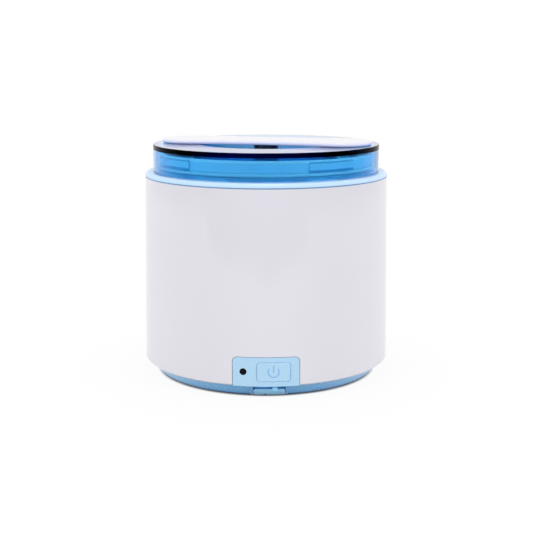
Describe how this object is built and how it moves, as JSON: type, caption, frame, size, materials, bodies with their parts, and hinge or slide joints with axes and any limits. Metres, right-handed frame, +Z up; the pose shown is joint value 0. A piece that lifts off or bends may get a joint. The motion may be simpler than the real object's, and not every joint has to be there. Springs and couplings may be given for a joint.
{
  "type": "ultrasonic cleaner",
  "caption": "Small round ultrasonic cleaner: white sleeve on a bevelled blue base, steel tank under a tinted lift-off lid with a bar handle, power button and covered charging port.",
  "frame": {"origin": "on the floor under the middle of the cleaner's bounding box", "axes": "+Z up, the control panel faces -Y, +X to the right seen from the front"},
  "size_m": [0.1124, 0.1126, 0.106],
  "materials": {
    "white_gloss": "glossy",
    "blue_plastic": "satin gloss",
    "dark_rubber": "matte",
    "screw_steel": "plain",
    "clear_silicone": "satin",
    "tank_steel": "brushed",
    "epoxy": "glossy",
    "silvered_ceramic": "satin",
    "lead_insulation": "satin",
    "circuit_board": "satin",
    "wound_ferrite": "varnished",
    "capacitor_can": "sleeved",
    "bare_aluminium": "extruded",
    "black_moulding": "matte",
    "ivory_nylon": "satin",
    "grey_plastic": "matte",
    "cell_can": "sleeved",
    "nickel_strip": "plated",
    "led_epoxy": "clear",
    "black_lens": "glossy",
    "ribbon_grey": "satin",
    "blue_rubber": "matte",
    "tinted_clear": "clear glossy",
    "dark_plastic": "satin"
  },
  "bodies": {
    "housing": {"outer_shell": "white_gloss", "base": "blue_plastic", "rubber_feet": "dark_rubber", "base_screws": "screw_steel", "collar": "blue_plastic", "lid_seal": "clear_silicone", "tank": "tank_steel", "tank_seal": "clear_silicone", "transducer_bond": "epoxy", "transducer_disc": "silvered_ceramic", "transducer_leads": "lead_insulation", "main_board": "circuit_board", "board_screws": "screw_steel", "drive_inductor": "wound_ferrite", "filter_capacitors": "capacitor_can", "heat_sink": "bare_aluminium", "power_transistor": "black_moulding", "controller_chip": "black_moulding", "lead_connector": "ivory_nylon", "battery_holder": "grey_plastic", "battery_cells": "cell_can", "battery_tabs": "nickel_strip", "battery_leads": "lead_insulation", "button_board": "circuit_board", "tact_switch": "black_moulding", "indicator_led": "led_epoxy", "indicator_lens": "black_lens", "panel_ribbon": "ribbon_grey", "charge_board": "circuit_board", "charge_socket": "nickel_strip", "charge_leads": "lead_insulation"},
    "button": {"button_cap": "blue_plastic"},
    "port_flap": {"port_cover": "blue_rubber"},
    "lid": {"lid_cover": "tinted_clear", "handle_bar": "white_gloss", "handle_post": "dark_plastic", "handle_screw": "screw_steel"}
  },
  "joints": [
    {"name": "lid_lift", "type": "slide", "parent": "housing", "child": "lid", "axis": [0, 0, 1], "range_m": [0, 0.12]},
    {"name": "button_press", "type": "slide", "parent": "housing", "child": "button", "axis": [0, 1, 0], "range_m": [0, 0.0006], "stiffness_N_per_m": 2500},
    {"name": "port_cover_swing", "type": "hinge", "parent": "housing", "child": "port_flap", "pos_m": [0.00375, -0.05427, 0.005], "axis": [-1, 0, 0], "range_deg": [0, 90]}
  ]
}
